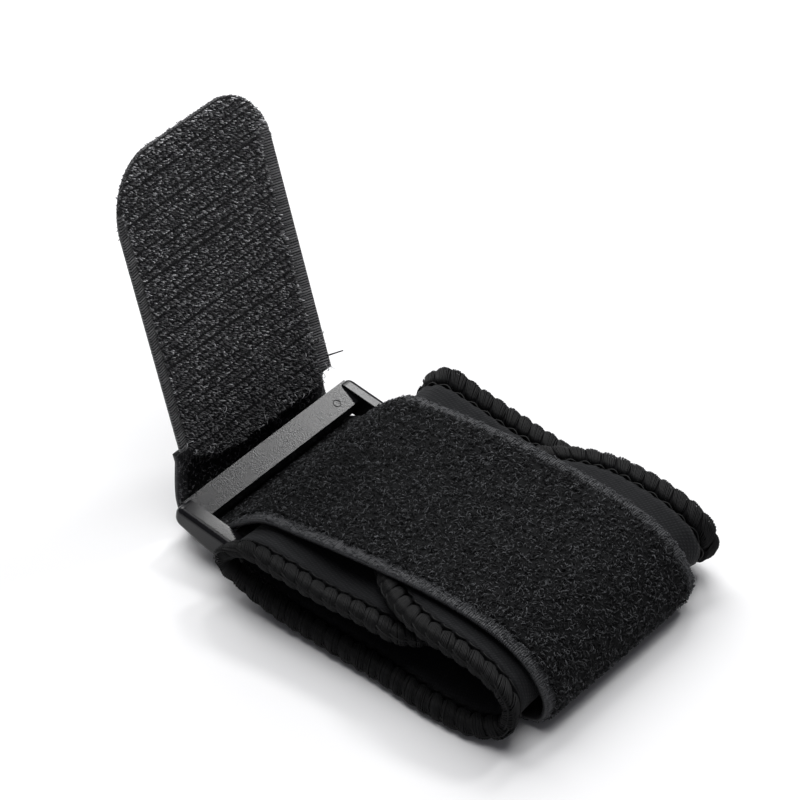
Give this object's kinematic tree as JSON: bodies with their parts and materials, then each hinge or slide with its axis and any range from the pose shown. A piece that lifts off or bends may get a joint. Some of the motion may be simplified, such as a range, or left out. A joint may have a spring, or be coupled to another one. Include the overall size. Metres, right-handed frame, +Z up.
{
  "type": "wrist strap",
  "caption": "Neoprene wrist support band folded into a flat loop, with an overlocked edge, a pile strap drawn through a plastic ring and a stiff hook tab standing up at its end.",
  "frame": {"origin": "on the floor that the strap lies on, under the middle of its bounding box", "axes": "+X from the ring to the open fold, +Y along the wrist toward the far side of the picture, +Z up"},
  "size_m": [0.1206, 0.0754, 0.0842],
  "materials": {
    "neoprene": "matt black knit over foam rubber",
    "edge_thread": "matt black overlock thread",
    "pile_tape": "matt black brushed loops with smoother borders",
    "hook_tape": "black nylon hooks with a fine glint",
    "webbing": "matt black webbing",
    "ring_plastic": "fine-grained moulded black"
  },
  "bodies": {
    "root": {"wrist_band": "neoprene", "overlocked_edge": "edge_thread", "loop_strap": "pile_tape", "hook_tab": "hook_tape", "ring_keeper": "webbing", "buckle_ring": "ring_plastic"}
  },
  "joints": []
}
